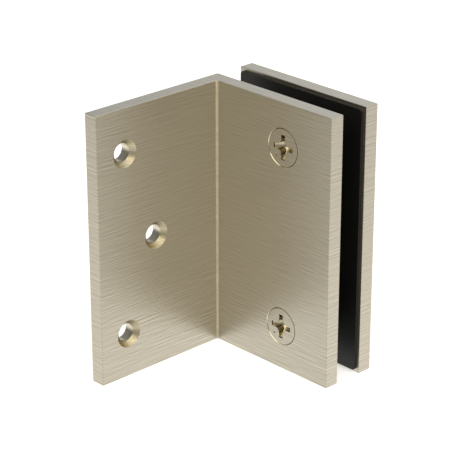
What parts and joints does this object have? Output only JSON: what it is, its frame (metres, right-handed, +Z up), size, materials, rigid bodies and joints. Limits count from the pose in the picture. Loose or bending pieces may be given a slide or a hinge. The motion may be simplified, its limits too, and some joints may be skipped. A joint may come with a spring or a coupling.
{
  "type": "glass clamp wall bracket",
  "caption": "Metal angle bracket that screws to a wall and grips the edge of a glass panel between rubber gaskets, with a loose plate drawn in by countersunk screws.",
  "frame": {"origin": "centre of the wall leg's face that lies on the wall", "axes": "+X out of the wall along the glass, +Y from the wall leg's free edge towards the clamp plate, +Z up along the plates"},
  "size_m": [0.054, 0.069, 0.089],
  "materials": {
    "brushed_metal": "brushed warm nickel over brass, brushed level",
    "screw_metal": "brushed warm nickel on the heads, polished in the recess and on the thread",
    "gasket_rubber": "satin black rubber sheet"
  },
  "bodies": {
    "bracket": {"wall_bracket": "brushed_metal", "front_gasket": "gasket_rubber"},
    "clamp": {"clamp_plate": "brushed_metal", "rear_gasket": "gasket_rubber"},
    "upper_screw": {"clamp_screw_upper": "screw_metal"},
    "lower_screw": {"clamp_screw_lower": "screw_metal"}
  },
  "joints": [
    {"name": "upper_screw_turn", "type": "hinge", "parent": "bracket", "child": "upper_screw", "pos_m": [0.034, 0.022, 0.03], "axis": [0, 1, 0], "range_deg": [-720, 720]},
    {"name": "lower_screw_turn", "type": "hinge", "parent": "bracket", "child": "lower_screw", "pos_m": [0.034, 0.022, -0.03], "axis": [0, 1, 0], "range_deg": [-720, 720]},
    {"name": "clamp_slide", "type": "slide", "parent": "bracket", "child": "clamp", "axis": [0, -1, 0], "range_m": [-0.002, 0.002]}
  ],
  "couplings": [
    {"joint": "upper_screw_turn", "follows": "clamp_slide", "rad_per_m": 6283.2},
    {"joint": "lower_screw_turn", "follows": "clamp_slide", "rad_per_m": 6283.2}
  ]
}
